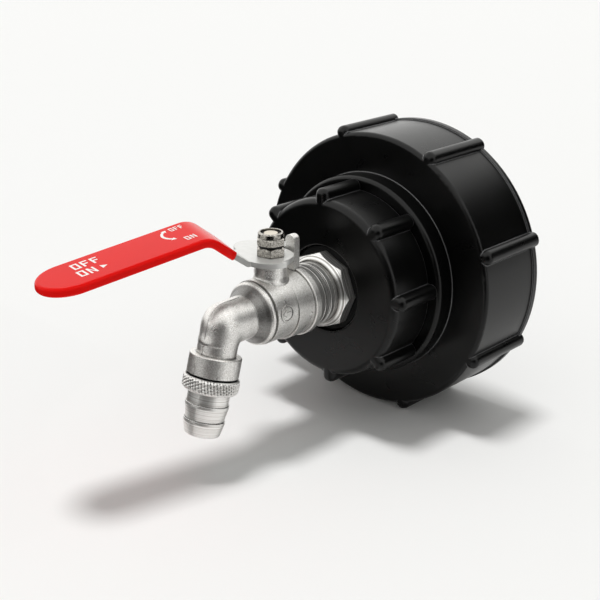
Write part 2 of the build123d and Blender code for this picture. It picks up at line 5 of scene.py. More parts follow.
import bpy
from mathutils import Matrix, Vector


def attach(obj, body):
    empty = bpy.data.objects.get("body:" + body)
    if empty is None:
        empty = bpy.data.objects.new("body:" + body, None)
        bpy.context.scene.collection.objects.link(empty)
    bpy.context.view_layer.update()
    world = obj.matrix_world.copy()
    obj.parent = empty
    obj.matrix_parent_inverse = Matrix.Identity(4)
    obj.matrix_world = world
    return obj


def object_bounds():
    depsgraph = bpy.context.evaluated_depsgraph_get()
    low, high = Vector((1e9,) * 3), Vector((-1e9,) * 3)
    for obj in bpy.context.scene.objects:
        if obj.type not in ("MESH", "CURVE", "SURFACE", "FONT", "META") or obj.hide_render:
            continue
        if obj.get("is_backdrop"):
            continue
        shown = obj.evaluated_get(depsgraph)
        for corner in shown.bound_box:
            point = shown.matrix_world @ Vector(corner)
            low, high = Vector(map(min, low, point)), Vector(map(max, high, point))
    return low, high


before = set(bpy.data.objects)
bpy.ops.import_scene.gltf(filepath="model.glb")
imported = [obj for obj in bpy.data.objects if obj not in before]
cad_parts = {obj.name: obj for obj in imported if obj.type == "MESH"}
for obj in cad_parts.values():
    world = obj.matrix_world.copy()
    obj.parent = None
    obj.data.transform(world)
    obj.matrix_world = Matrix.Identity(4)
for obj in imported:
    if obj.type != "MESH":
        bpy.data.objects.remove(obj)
cad_low, cad_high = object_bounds()

# ---- Large cap
# The cap that screws onto the container's outlet. Injection moulded in black polypropylene
# with a fine spark-eroded grain: near black, with a broad soft sheen along its barrel.
MM = 0.001


def linear(hex_colour):
    """An sRGB hex colour as the linear RGBA that a shader takes."""
    levels = [int(hex_colour[place : place + 2], 16) / 255 for place in (1, 3, 5)]
    return tuple(
        level / 12.92 if level <= 0.04045 else ((level + 0.055) / 1.055) ** 2.4 for level in levels
    ) + (1.0,)


def add_node(material, kind, inputs=None, **settings):
    """Add a shader node. Inputs are numbers or colours to set, or other nodes' outputs to link."""
    node = material.node_tree.nodes.new(kind)
    for name, value in settings.items():
        setattr(node, name, value)
    for socket, value in (inputs or {}).items():
        if isinstance(value, bpy.types.NodeSocket):
            material.node_tree.links.new(value, node.inputs[socket])
        else:
            node.inputs[socket].default_value = value
    return node


def new_material(name):
    """An empty node material with its Principled shader and its coordinates in row-frame metres."""
    material = bpy.data.materials.new(name)
    material.use_nodes = True
    material.node_tree.nodes.clear()
    shader = add_node(material, "ShaderNodeBsdfPrincipled")
    output = add_node(material, "ShaderNodeOutputMaterial")
    material.node_tree.links.new(shader.outputs["BSDF"], output.inputs["Surface"])
    place = add_node(material, "ShaderNodeTexCoord").outputs["Object"]
    return material, shader, place


def finish_surface(material, shader, **sockets):
    """Set or link the Principled shader's sockets, named with _ for a space."""
    for name, value in sockets.items():
        socket = shader.inputs[name.replace("_", " ")]
        if isinstance(value, bpy.types.NodeSocket):
            material.node_tree.links.new(value, socket)
        else:
            socket.default_value = value


def dress(material, *nodes):
    """Give CAD nodes a material and smooth shading on every face."""
    for name in nodes:
        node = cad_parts[name]
        node.data.materials.clear()
        node.data.materials.append(material)
        for face in node.data.polygons:
            face.use_smooth = True
            face.material_index = 0


def new_piece(name, points, faces, material, body, smooth=True):
    """A mesh piece from points in millimetres in the row frame, riding on a body."""
    mesh = bpy.data.meshes.new(name)
    mesh.from_pydata([Vector(point) * MM for point in points], [], faces)
    mesh.validate()
    mesh.materials.append(material)
    for face in mesh.polygons:
        face.use_smooth = smooth
    piece = bpy.data.objects.new(name, mesh)
    bpy.context.scene.collection.objects.link(piece)
    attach(piece, body)
    return piece


def at_pipe(angle, radius, station):
    """A point round the pipe axis: station is the distance forward of the tank cap's mouth."""
    return (radius * math.cos(angle), -station, radius * math.sin(angle))


def screw_ridge(place, root, crest, pitch, start, end, root_width, crest_width, phase=0.0):
    """Points and faces of a right-hand thread's ridge, run out to nothing at both ends."""
    per_turn, run_out = 96, 20
    least_rise, sunk_share = 0.02, 0.08
    steps = int((end - start) / pitch * per_turn)
    points, faces = [], []
    for step in range(steps + 1):
        rise = min(1.0, step / run_out, (steps - step) / run_out)
        top = root + (crest - root) * max(rise, least_rise)
        angle = math.tau * step / per_turn + phase
        middle = start + pitch * step / per_turn
        sink = root - (crest - root) * sunk_share
        for radius, offset in (
            (sink, -root_width / 2),
            (root, -root_width / 2),
            (top, -crest_width / 2),
            (top, crest_width / 2),
            (root, root_width / 2),
            (sink, root_width / 2),
        ):
            points.append(place(angle, radius, middle + offset))
    for step in range(steps):
        for side in range(6):
            a, b = step * 6 + side, step * 6 + (side + 1) % 6
            faces.append((a, b, b + 6, a + 6))
    faces += [tuple(range(5, -1, -1)), tuple(range(steps * 6, steps * 6 + 6))]
    return points, faces


def edge_mask(material, radius):
    """A rounded normal, and a mask that is 1 on edges sharper than the radius and 0 elsewhere."""
    rounded = add_node(material, "ShaderNodeBevel", {"Radius": radius}, samples=6)
    geometry = add_node(material, "ShaderNodeNewGeometry")
    likeness = add_node(
        material,
        "ShaderNodeVectorMath",
        {0: rounded.outputs["Normal"], 1: geometry.outputs["Normal"]},
        operation="DOT_PRODUCT",
    )
    mask = add_node(
        material,
        "ShaderNodeMapRange",
        {"Value": likeness.outputs["Value"], "From Min": 0.995, "From Max": 0.93},
    )
    return rounded.outputs["Normal"], mask.outputs["Result"]


cap_plastic, shader, place = new_material("black_polypropylene_moulded")
MOULD_GRAIN = 0.45 * MM
FLOW_MARKS = 14 * MM
grain = add_node(
    cap_plastic,
    "ShaderNodeTexNoise",
    {"Vector": place, "Scale": 1 / MOULD_GRAIN, "Detail": 2.0, "Roughness": 0.6},
)
flow = add_node(
    cap_plastic,
    "ShaderNodeTexNoise",
    {"Vector": place, "Scale": 1 / FLOW_MARKS, "Detail": 3.0, "Distortion": 0.8},
)
soft_normal, edge_highlight_mask = edge_mask(cap_plastic, 0.7 * MM)
# Painted highlight: the outer edges are drawn lighter and glossier, but not the edge of the recess
# round the connector.
EDGE_HIGHLIGHT_FROM = 20.0 * MM
split = add_node(cap_plastic, "ShaderNodeSeparateXYZ", {"Vector": place})
across = add_node(
    cap_plastic, "ShaderNodeCombineXYZ", {"X": split.outputs["X"], "Z": split.outputs["Z"]}
)
out = add_node(
    cap_plastic, "ShaderNodeVectorMath", {0: across.outputs["Vector"]}, operation="LENGTH"
)
outside = add_node(
    cap_plastic,
    "ShaderNodeMath",
    {0: out.outputs["Value"], 1: EDGE_HIGHLIGHT_FROM},
    operation="GREATER_THAN",
)
edge_highlight_mask = add_node(
    cap_plastic, "ShaderNodeMath", {0: edge_highlight_mask, 1: outside.outputs[0]}, operation="MULTIPLY"
).outputs[0]
sheen = add_node(
    cap_plastic,
    "ShaderNodeMapRange",
    {
        "Value": flow.outputs["Fac"],
        "From Min": 0.3,
        "From Max": 0.7,
        "To Min": 0.27,
        "To Max": 0.31,
    },
)
gloss = add_node(
    cap_plastic, "ShaderNodeMapRange", {"Value": edge_highlight_mask, "To Min": 0.26, "To Max": 1.0}
)
# The painted highlight: on the edges the colour goes from the near-black face to a lighter grey.
tone = add_node(
    cap_plastic,
    "ShaderNodeMix",
    {"Factor": edge_highlight_mask, 6: linear("#030303"), 7: linear("#474749")},
    data_type="RGBA",
)
bump = add_node(
    cap_plastic,
    "ShaderNodeBump",
    {
        "Strength": 0.4,
        "Distance": 0.02 * MM,
        "Height": grain.outputs["Fac"],
        "Normal": soft_normal,
    },
)
finish_surface(
    cap_plastic,
    shader,
    Base_Color=tone.outputs[2],
    Roughness=sheen.outputs["Result"],
    IOR=1.49,
    Specular_IOR_Level=gloss.outputs["Result"],
    Normal=bump.outputs["Normal"],
)
dress(cap_plastic, "tank_cap")

# The thread for the container's outlet stands inward from the skirt.
points, faces = screw_ridge(
    at_pipe,
    root=50.3,
    crest=47.0,
    pitch=8.0,
    start=3.5,
    end=23.0,
    root_width=5.2,
    crest_width=2.2,
)
new_piece("tank_cap_thread", points, faces, cap_plastic, "tank_side")

NECK_PITCH = 6.0
points, faces = screw_ridge(
    at_pipe,
    root=27.4,
    crest=29.4,
    pitch=NECK_PITCH,
    start=44.8,
    end=53.6,
    root_width=3.2,
    crest_width=1.4,
)
new_piece("neck_thread", points, faces, cap_plastic, "tank_side")

# ---- Small cap
# The cap that screws onto the neck and carries the tap, in the same black polypropylene.
# Its own thread stands inward and lies half a pitch from the neck's.
dress(cap_plastic, "small_cap")
points, faces = screw_ridge(
    at_pipe,
    root=29.8,
    crest=27.8,
    pitch=NECK_PITCH,
    start=44.8,
    end=56.0,
    root_width=3.2,
    crest_width=1.4,
    phase=math.pi,
)
new_piece("small_cap_thread", points, faces, cap_plastic, "tap")

# ---- Rubber rings
# Flat gaskets and the stem's two round rings, moulded in black EPDM rubber: matt, with dust that
# leaves patches of a paler black.
rubber, shader, place = new_material("black_epdm_rubber")
RUBBER_GRAIN = 0.25 * MM
dust = add_node(
    rubber,
    "ShaderNodeTexNoise",
    {"Vector": place, "Scale": 1 / RUBBER_GRAIN, "Detail": 3.0, "Roughness": 0.6},
)
tone = add_node(
    rubber,
    "ShaderNodeMix",
    {"Factor": dust.outputs["Fac"], 6: linear("#070707"), 7: linear("#121212")},
    data_type="RGBA",
)
bump = add_node(
    rubber,
    "ShaderNodeBump",
    {"Strength": 0.3, "Distance": 0.03 * MM, "Height": dust.outputs["Fac"]},
)
finish_surface(
    rubber,
    shader,
    Base_Color=tone.outputs[2],
    Roughness=0.7,
    IOR=1.52,
    Specular_IOR_Level=0.15,
    Normal=bump.outputs["Normal"],
)
dress(
    rubber,
    "tank_seal",
    "cap_seal",
    "inlet_gasket",
    "body_seal",
    "lower_stem_ring",
    "upper_stem_ring",
    "outlet_gasket",
)

# ---- Connector
# Turned brass, nickel plated and left as it comes from the lathe: warm white and bright,
# with fine tool lines round it that draw each reflection out along the pipe.
NICKEL_LIGHT = linear("#faf9f7")
NICKEL_SHADE = linear("#1e1d1b")
TURNED_LINE = 0.5 * MM


def shaded_tone(material, grain, light, deep, shade, depth):
    """A colour that follows the grain, with painted shade that darkens it in corners and grooves up
    to a depth.
    """
    tone = add_node(
        material, "ShaderNodeMix", {"Factor": grain, 6: deep, 7: light}, data_type="RGBA"
    )
    # Painted shade: where ambient occlusion finds a corner or groove, the colour goes towards the
    # shade colour.
    corner = add_node(material, "ShaderNodeAmbientOcclusion", {"Distance": depth}, samples=6)
    openness = add_node(
        material,
        "ShaderNodeMapRange",
        {"Value": corner.outputs["AO"], "From Min": 0.4, "From Max": 0.88},
    )
    shaded = add_node(
        material,
        "ShaderNodeMix",
        {"Factor": openness.outputs["Result"], 6: shade, 7: tone.outputs[2]},
        data_type="RGBA",
    )
    return shaded.outputs[2]


def turned_nickel(name, origin, axis, rough, line_depth, light, deep):
    """Nickel plated turned brass with tool lines round an axis, drawn a little coarse to show."""
    material, shader, place = new_material(name)
    along = add_node(
        material,
        "ShaderNodeVectorMath",
        {0: place, 1: Vector(origin) * MM},
        operation="SUBTRACT",
    )
    along = add_node(
        material,
        "ShaderNodeVectorMath",
        {0: along.outputs["Vector"], 1: axis},
        operation="DOT_PRODUCT",
    )
    lines = add_node(
        material,
        "ShaderNodeTexNoise",
        {"W": along.outputs["Value"], "Scale": 1 / TURNED_LINE, "Detail": 3.0},
        noise_dimensions="1D",
    )
    cloud = add_node(
        material, "ShaderNodeTexNoise", {"Vector": place, "Scale": 1 / (0.5 * MM), "Detail": 2.0}
    )
    contrast = add_node(
        material,
        "ShaderNodeMapRange",
        {"Value": lines.outputs["Fac"], "From Min": 0.35, "From Max": 0.65},
    )
    tone = shaded_tone(
        material, contrast.outputs["Result"], light, deep, NICKEL_SHADE, 0.9 * MM
    )
    rounded = add_node(material, "ShaderNodeBevel", {"Radius": 0.15 * MM}, samples=6)
    bump = add_node(
        material,
        "ShaderNodeBump",
        {
            "Strength": 0.6,
            "Distance": line_depth,
            "Height": lines.outputs["Fac"],
            "Normal": rounded.outputs["Normal"],
        },
    )
    fine = add_node(
        material,
        "ShaderNodeBump",
        {
            "Strength": 0.4,
            "Distance": 0.025 * MM,
            "Height": cloud.outputs["Fac"],
            "Normal": bump.outputs["Normal"],
        },
    )
    finish_surface(
        material,
        shader,
        Base_Color=tone,
        Metallic=0.88,
        Roughness=rough,
        Normal=fine.outputs["Normal"],
    )
    return material


pipe_nickel = turned_nickel(
    "nickel_plated_brass_connector",
    origin=(0, 0, 0),
    axis=(0, 1, 0),
    rough=0.28,
    line_depth=0.06 * MM,
    light=NICKEL_LIGHT,
    deep=linear("#8d8a85"),
)
dress(pipe_nickel, "inlet_connector")

# The tool left fine raised rings on the connector's shank.
SHANK_R = 12.2
RING_HEIGHT = 0.16
RING_SINK = 0.05
RING_WIDTH = 0.34
RING_STEPS = 96
RING_STATIONS = (70.1, 72.0, 72.9, 75.4)
for index, station in enumerate(RING_STATIONS):
    points, faces = [], []
    for step in range(RING_STEPS):
        angle = math.tau * step / RING_STEPS
        points += [
            at_pipe(angle, SHANK_R - RING_SINK, station - RING_WIDTH / 2),
            at_pipe(angle, SHANK_R + RING_HEIGHT, station),
            at_pipe(angle, SHANK_R - RING_SINK, station + RING_WIDTH / 2),
        ]
        for side in range(3):
            a, b = step * 3 + side, step * 3 + (side + 1) % 3
            after = 3 if step < RING_STEPS - 1 else -3 * (RING_STEPS - 1)
            faces.append((a, b, b + after, a + after))
    new_piece(
        f"shank_ring_{index}", points, faces, pipe_nickel, "tap", smooth=False
    )

# ---- Body
# Brass cast in a two-part die, blasted with fine grit and nickel plated. The plating is warm
# white and bright, and the blasting breaks each reflection into a fine grain.
NICKEL_DEEP = linear("#bfbcb7")
BLAST_GRAIN = 0.45 * MM
CAST_WAVE = 5.0 * MM


def plated(name, grain_size, grain_depth, rough_low, rough_high, metal, light, deep, dark_band=None):
    """Plated metal with a grain of a given size and depth between two tones.

    dull gives two stations along the pipe, in millimetres, between which the tone is darker.
    """
    material, shader, place = new_material(name)
    grain = add_node(
        material,
        "ShaderNodeTexNoise",
        {"Vector": place, "Scale": 1 / grain_size, "Detail": 3.0, "Roughness": 0.7},
    )
    grain = add_node(
        material,
        "ShaderNodeMapRange",
        {"Value": grain.outputs["Fac"], "From Min": 0.32, "From Max": 0.68},
    )
    wave = add_node(
        material, "ShaderNodeTexNoise", {"Vector": place, "Scale": 1 / CAST_WAVE, "Detail": 2.0}
    )
    tone = shaded_tone(
        material, grain.outputs["Result"], light, deep, NICKEL_SHADE, 0.9 * MM
    )
    # Between the two stations the tone is mixed most of the way to the darkest colour.
    if dark_band:
        middle, half = (dark_band[0] + dark_band[1]) / 2, (dark_band[1] - dark_band[0]) / 2
        along = add_node(material, "ShaderNodeSeparateXYZ", {"Vector": place})
        away = add_node(
            material, "ShaderNodeMath", {0: along.outputs["Y"], 1: middle * MM}, operation="ADD"
        )
        away = add_node(material, "ShaderNodeMath", {0: away.outputs[0]}, operation="ABSOLUTE")
        amount = add_node(
            material,
            "ShaderNodeMapRange",
            {
                "Value": away.outputs[0],
                "From Min": (half + 0.2) * MM,
                "From Max": (half - 0.2) * MM,
                "To Max": 0.72,
            },
        )
        tone = add_node(
            material,
            "ShaderNodeMix",
            {"Factor": amount.outputs["Result"], 6: tone, 7: NICKEL_SHADE},
            data_type="RGBA",
        ).outputs[2]
    rough = add_node(
        material,
        "ShaderNodeMapRange",
        {
            "Value": wave.outputs["Fac"],
            "From Min": 0.3,
            "From Max": 0.7,
            "To Min": rough_low,
            "To Max": rough_high,
        },
    )
    rounded = add_node(material, "ShaderNodeBevel", {"Radius": 0.25 * MM}, samples=6)
    ripple = add_node(
        material,
        "ShaderNodeBump",
        {
            "Strength": 0.5,
            "Distance": 0.06 * MM,
            "Height": wave.outputs["Fac"],
            "Normal": rounded.outputs["Normal"],
        },
    )
    bump = add_node(
        material,
        "ShaderNodeBump",
        {
            "Strength": 0.7,
            "Distance": grain_depth,
            "Height": grain.outputs["Result"],
            "Normal": ripple.outputs["Normal"],
        },
    )
    finish_surface(
        material,
        shader,
        Base_Color=tone,
        Metallic=metal,
        Roughness=rough.outputs["Result"],
        Normal=bump.outputs["Normal"],
    )
    return material


blasted_nickel = plated(
    "nickel_plated_brass_blasted",
    grain_size=BLAST_GRAIN,
    grain_depth=0.05 * MM,
    rough_low=0.27,
    rough_high=0.34,
    metal=0.85,
    light=NICKEL_LIGHT,
    deep=NICKEL_DEEP,
    # The body is darker on its shoulder cone, between these two stations.
    dark_band=(103.9, 107.6),
)
dress(blasted_nickel, "valve_body")

# The casting's parting line: a fine fin left where the two halves of the die met, in the plane
# of symmetry, over the elbow's back and belly and down both sides of the collar.
ELBOW = 118.6
CAST_RISE = 0.6
STUB_R = 8.3
SPOUT_R = 7.4
COLLAR_R = 9.7
SPOUT_TILT = math.radians(15)
BEND_TURN = math.pi / 2 - SPOUT_TILT
DOWN = Vector((0, -math.sin(SPOUT_TILT), -math.cos(SPOUT_TILT)))
FORWARD = Vector((0, -math.cos(SPOUT_TILT), math.sin(SPOUT_TILT)))
FIN_WIDTH = 0.34
FIN_HEIGHT = 0.14
FIN_START = 109.6
FIN_END = 10.4
COLLAR_FIN = (10.7, 17.3)
FRONT_BEND = 117.51
BELLY_BEND = 112.39
BELLY_BEND_R = 0.8
BEND_STEPS = 16


def at_spout(angle, radius, distance):
    """A point round the spout's axis, at a distance down it from the elbow's corner."""
    across = Vector((math.cos(angle), 0, 0)) + FORWARD * math.sin(angle)
    return Vector((0, -ELBOW, 0)) + DOWN * distance + across * radius


def fin(name, line, outward, body, material):
    """A low rounded fin along a line in the plane of symmetry; outward gives its height's way."""
    points, faces = [], []
    for here, out in zip(line, outward):
        for side, lift in ((-0.5, -0.5), (-0.25, 0.8), (0.25, 0.8), (0.5, -0.5)):
            points.append(here + Vector((side * FIN_WIDTH, 0, 0)) + out * lift * FIN_HEIGHT)
    for step in range(len(line) - 1):
        for side in range(4):
            a, b = step * 4 + side, step * 4 + (side + 1) % 4
            faces.append((a, b, b + 4, a + 4))
    last = (len(line) - 1) * 4
    faces += [(3, 2, 1, 0), (last, last + 1, last + 2, last + 3)]
    return new_piece(name, points, faces, material, body)


for side, name, centre, bend_r in (
    (1, "parting_fin_front", Vector((0, -FRONT_BEND, CAST_RISE)), STUB_R),
    (
        -1,
        "parting_fin_belly",
        Vector((0, -BELLY_BEND, CAST_RISE - STUB_R - BELLY_BEND_R)),
        BELLY_BEND_R,
    ),
):
    line = [Vector((0, -FIN_START, CAST_RISE + side * STUB_R))]
    outward = [Vector((0, 0, side))]
    for step in range(BEND_STEPS + 1):
        turn = BEND_TURN * step / BEND_STEPS
        out = Vector((0, -math.sin(turn), math.cos(turn)))
        line.append(centre + out * bend_r)
        outward.append(out * side)
    line.append(at_spout(side * math.pi / 2, SPOUT_R, FIN_END))
    outward.append(FORWARD * side)
    fin(name, line, outward, "tap", blasted_nickel)
    line = [at_spout(side * math.pi / 2, COLLAR_R, distance) for distance in COLLAR_FIN]
    fin(name + "_collar", line, [FORWARD * side] * 2, "tap", blasted_nickel)

# The cast mark on the barrel's side: a plain ring with an arrow that points to the spout. It
# stands in the place of the maker's cast mark and says which way the liquid runs.
BARREL_R = 12.4
MARK_STATION = 96.7
MARK_ANGLE = math.radians(8)
MARK_R = 3.3
MARK_WIDTH = 0.5
MARK_LIFT = 0.36
MARK_SINK = 0.15
MARK_STEPS = 28


def on_barrel(across, up, lift):
    """A point of the mark: across is towards the spout and up is round the barrel, in mm."""
    x, y, z = at_pipe(MARK_ANGLE + up / BARREL_R, BARREL_R + lift, MARK_STATION + across)
    return (x, y, z + CAST_RISE)


def raised_shape(name, loops):
    """Raised cast shapes on the barrel, each from a closed outline."""
    points, faces = [], []
    for loop in loops:
        base, count = len(points), len(loop)
        for lift in (-MARK_SINK, MARK_LIFT):
            points += [on_barrel(x, y, lift) for x, y in loop]
        faces.append(tuple(base + count + step for step in range(count)))
        for step in range(count):
            after = (step + 1) % count
            faces.append((base + step, base + after, base + count + after, base + count + step))
    return new_piece(name, points, faces, blasted_nickel, "tap", smooth=False)


loops = []
for step in range(MARK_STEPS):
    turns = [math.tau * (step + ahead) / MARK_STEPS for ahead in (0, 1)]
    ring = [(MARK_R * math.cos(turn), MARK_R * math.sin(turn)) for turn in turns]
    ring += [
        ((MARK_R - MARK_WIDTH) * math.cos(turn), (MARK_R - MARK_WIDTH) * math.sin(turn))
        for turn in reversed(turns)
    ]
    loops.append(ring)
raised_shape("flow_mark_ring", loops)
raised_shape(
    "flow_mark_arrow",
    [
        [(-1.9, -0.35), (0.3, -0.35), (0.3, 0.35), (-1.9, 0.35)],
        [(0.3, -1.3), (2.2, 0.0), (0.3, 1.3)],
    ],
)

# ---- Ball and seats
# The ball is turned brass, chromed and polished nearly to a mirror. Its two seats and the stem's
# thrust washer are white PTFE, which is waxy and slightly translucent.
ball_chrome = plated(
    "chromed_brass_ball",
    grain_size=0.6 * MM,
    grain_depth=0.002 * MM,
    rough_low=0.06,
    rough_high=0.09,
    metal=1.0,
    light=NICKEL_LIGHT,
    deep=NICKEL_DEEP,
)
dress(ball_chrome, "ball")

ptfe, shader, place = new_material("white_ptfe")
cloud = add_node(
    ptfe, "ShaderNodeTexNoise", {"Vector": place, "Scale": 1 / (1.5 * MM), "Detail": 2.0}
)
tone = add_node(
    ptfe,
    "ShaderNodeMix",
    {"Factor": cloud.outputs["Fac"], 6: linear("#e6e4de"), 7: linear("#f2f1ed")},
    data_type="RGBA",
)
finish_surface(
    ptfe,
    shader,
    Base_Color=tone.outputs[2],
    Roughness=0.42,
    IOR=1.38,
    Subsurface_Weight=0.15,
    Subsurface_Scale=1.0 * MM,
)
dress(ptfe, "front_seat", "rear_seat", "stem_washer")

# ---- Stem
# Turned brass, nickel plated like the connector, but yellower and with fainter tool lines.
# Little more than its end shows, inside the lock nut's collar.
STEM = 93.0
stem_nickel = turned_nickel(
    "nickel_plated_brass_stem",
    origin=(0, -STEM, 0),
    axis=(0, 0, 1),
    rough=0.34,
    line_depth=0.02 * MM,
    light=linear("#d5cdbf"),
    deep=linear("#a8a093"),
)
dress(stem_nickel, "stem")

# ---- Lever
# The plate is blanked from steel sheet, bent twice and given a bright zinc coat: pale, a little
# cloudy and half matt, with faint lines from the rolling.
zinc, shader, place = new_material("zinc_plated_steel")
SPANGLE = 2.2 * MM
spangle = add_node(
    zinc, "ShaderNodeTexNoise", {"Vector": place, "Scale": 1 / SPANGLE, "Detail": 4.0}
)
scratch_way = add_node(
    zinc, "ShaderNodeMapping", {"Vector": place, "Scale": (1.0, 9.0, 1.0)}, vector_type="TEXTURE"
)
rolled = add_node(
    zinc,
    "ShaderNodeTexNoise",
    {"Vector": scratch_way.outputs["Vector"], "Scale": 1 / (0.4 * MM), "Detail": 2.0},
)
tone = add_node(
    zinc,
    "ShaderNodeMix",
    {"Factor": spangle.outputs["Fac"], 6: linear("#c2c2c0"), 7: linear("#dadad8")},
    data_type="RGBA",
)
rough = add_node(
    zinc,
    "ShaderNodeMapRange",
    {"Value": spangle.outputs["Fac"], "To Min": 0.36, "To Max": 0.5},
)
rounded = add_node(zinc, "ShaderNodeBevel", {"Radius": 0.2 * MM}, samples=4)
bump = add_node(
    zinc,
    "ShaderNodeBump",
    {
        "Strength": 0.35,
        "Distance": 0.012 * MM,
        "Height": rolled.outputs["Fac"],
        "Normal": rounded.outputs["Normal"],
    },
)
finish_surface(
    zinc,
    shader,
    Base_Color=tone.outputs[2],
    Metallic=0.7,
    Roughness=rough.outputs["Result"],
    Normal=bump.outputs["Normal"],
)
dress(zinc, "lever_plate")

# The grip is dipped in red plastisol vinyl, which flows to soft edges and cures glossy, with a
# faint orange peel.
vinyl, shader, place = new_material("red_plastisol_vinyl")
PEEL = 1.6 * MM
peel = add_node(
    vinyl, "ShaderNodeTexNoise", {"Vector": place, "Scale": 1 / PEEL, "Detail": 2.0}
)
cloud = add_node(
    vinyl, "ShaderNodeTexNoise", {"Vector": place, "Scale": 1 / (18 * MM), "Detail": 2.0}
)
tone = add_node(
    vinyl,
    "ShaderNodeMix",
    {"Factor": cloud.outputs["Fac"], 6: linear("#d80e0a"), 7: linear("#e4120e")},
    data_type="RGBA",
)
bump = add_node(
    vinyl,
    "ShaderNodeBump",
    {"Strength": 0.25, "Distance": 0.03 * MM, "Height": peel.outputs["Fac"]},
)
finish_surface(
    vinyl,
    shader,
    Base_Color=tone.outputs[2],
    Roughness=0.2,
    IOR=1.5,
    Specular_IOR_Level=0.05,
    Subsurface_Weight=0.08,
    Subsurface_Radius=(1.0, 0.25, 0.2),
    Subsurface_Scale=1.2 * MM,
    Normal=bump.outputs["Normal"],
)
dress(vinyl, "lever_sleeve")
# The plated metal would mirror the red grip, and the photograph shows no red in it.
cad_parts["lever_sleeve"].visible_glossy = False

# White ink pad-printed on the sleeve: OFF and ON with one arrow near the tip, and again by the
# bend, with a quarter-turn arc that has an arrow head at each end. Thin, slightly uneven ink.
ink, shader, place = new_material("white_pad_print_ink")
wear = add_node(
    ink, "ShaderNodeTexNoise", {"Vector": place, "Scale": 1 / (0.5 * MM), "Detail": 3.0}
)
tone = add_node(
    ink,
    "ShaderNodeMix",
    {"Factor": wear.outputs["Fac"], 6: linear("#e2dedb"), 7: linear("#f6f4f1")},
    data_type="RGBA",
)
finish_surface(ink, shader, Base_Color=tone.outputs[2], Roughness=0.42, IOR=1.5)

SKEW = math.radians(12)
FOLD_SKEW = math.radians(21)
DROP = math.radians(8.6)
BEND_OUT = 29.8
BEND_HEIGHT = 34.9
SLEEVE_THICKNESS = 3.3
INK_LIFT = 0.03
AWAY = Vector((-math.sin(SKEW), -math.cos(SKEW), 0))
FAR_SIDE = Vector((-math.cos(SKEW), math.sin(SKEW), 0))
SLOPE_WAY = Vector((-math.sin(FOLD_SKEW), -math.cos(FOLD_SKEW), 0))


def on_grip(away, across):
    """A point of the print: away from the stem along the grip and across to its far side."""
    flat = AWAY * away + FAR_SIDE * across
    fall = (flat.dot(SLOPE_WAY) - BEND_OUT) * math.tan(DROP)
    height = BEND_HEIGHT + SLEEVE_THICKNESS / 2 / math.cos(DROP) - fall + INK_LIFT
    return Vector((0, -STEM, height)) + flat


def bar(x0, y0, x1, y1):
    """The corners of an upright bar of a letter, in shares of the letter's width and height."""
    return [(x0, y0), (x1, y0), (x1, y1), (x0, y1)]


LETTERS = {
    "O": [
        bar(0, 0, 0.27, 1),
        bar(0.73, 0, 1, 1),
        bar(0.27, 0, 0.73, 0.16),
        bar(0.27, 0.84, 0.73, 1),
    ],
    "N": [
        bar(0, 0, 0.26, 1),
        bar(0.74, 0, 1, 1),
        [(0.26, 0.72), (0.74, 0), (0.74, 0.28), (0.26, 1)],
    ],
    "F": [bar(0, 0, 0.28, 1), bar(0.28, 0.84, 1, 1), bar(0.28, 0.42, 0.85, 0.58)],
}


def printed(name, shapes):
    """A print on the grip from flat shapes, each a list of (away, across) corners."""
    points, faces = [], []
    for shape in shapes:
        faces.append(tuple(range(len(points) + len(shape) - 1, len(points) - 1, -1)))
        points += [on_grip(*corner) for corner in shape]
    return new_piece(name, points, faces, ink, "lever", smooth=False)


def word(letters, away, across, width, height, gap):
    """The shapes of a word that starts at a point and runs towards the stem."""
    shapes = []
    for index, letter in enumerate(letters):
        start = away - index * (width + gap)
        for shape in LETTERS[letter]:
            shapes.append([(start - x * width, across + y * height) for x, y in shape])
    return shapes


def arrow_head(away, across, turn, size):
    """A small triangle that points along a turn, measured from away towards across."""
    tip = (away + size * math.cos(turn), across + size * math.sin(turn))
    wings = [
        (away + side * size * 0.7 * math.sin(turn), across - side * size * 0.7 * math.cos(turn))
        for side in (1, -1)
    ]
    return [tip, wings[1], wings[0]]


ARC_AWAY, ARC_ACROSS, ARC_R, ARC_WIDTH = 37.4, 3.4, 5.4, 1.0
ARC_FROM, ARC_TO, ARC_STEPS = -0.75, 0.95, 12
arc = []
for step in range(ARC_STEPS):
    turns = [ARC_FROM + (ARC_TO - ARC_FROM) * (step + ahead) / ARC_STEPS for ahead in (0, 1)]
    arc.append(
        [
            (ARC_AWAY + radius * math.cos(turn), ARC_ACROSS + radius * math.sin(turn))
            for turn, radius in (
                (turns[0], ARC_R - ARC_WIDTH / 2),
                (turns[0], ARC_R + ARC_WIDTH / 2),
                (turns[1], ARC_R + ARC_WIDTH / 2),
                (turns[1], ARC_R - ARC_WIDTH / 2),
            )
        ]
    )
for turn, way in ((ARC_FROM, -1), (ARC_TO, 1)):
    arc.append(
        arrow_head(
            ARC_AWAY + ARC_R * math.cos(turn),
            ARC_ACROSS + ARC_R * math.sin(turn),
            turn + way * math.pi / 2,
            1.7,
        )
    )
printed("print_quarter_turn", arc)
printed("print_off_by_bend", word("OFF", 38.0, 6.2, 1.4, 3.2, 0.5))
printed("print_on_by_bend", word("ON", 38.2, -5.6, 1.7, 3.4, 0.6))
printed("print_off_by_tip", word("OFF", 77.0, 2.7, 2.7, 5.2, 0.9))
printed(
    "print_on_by_tip",
    word("ON", 78.0, -4.6, 2.7, 5.2, 0.9) + [arrow_head(69.6, -2.0, math.pi, 2.2)],
)

# ---- Nuts and washer
# Cold-headed steel nuts with a bright plate, tumbled nearly to a mirror. The split washer between
# them is phosphated spring steel and the lock nut's ring is black nylon, so both read as black.
nut_steel = plated(
    "bright_plated_steel",
    grain_size=0.6 * MM,
    grain_depth=0.012 * MM,
    rough_low=0.14,
    rough_high=0.22,
    metal=1.0,
    light=linear("#c6c2bb"),
    deep=linear("#4f4c48"),
)
dress(nut_steel, "handle_nut", "lock_nut")

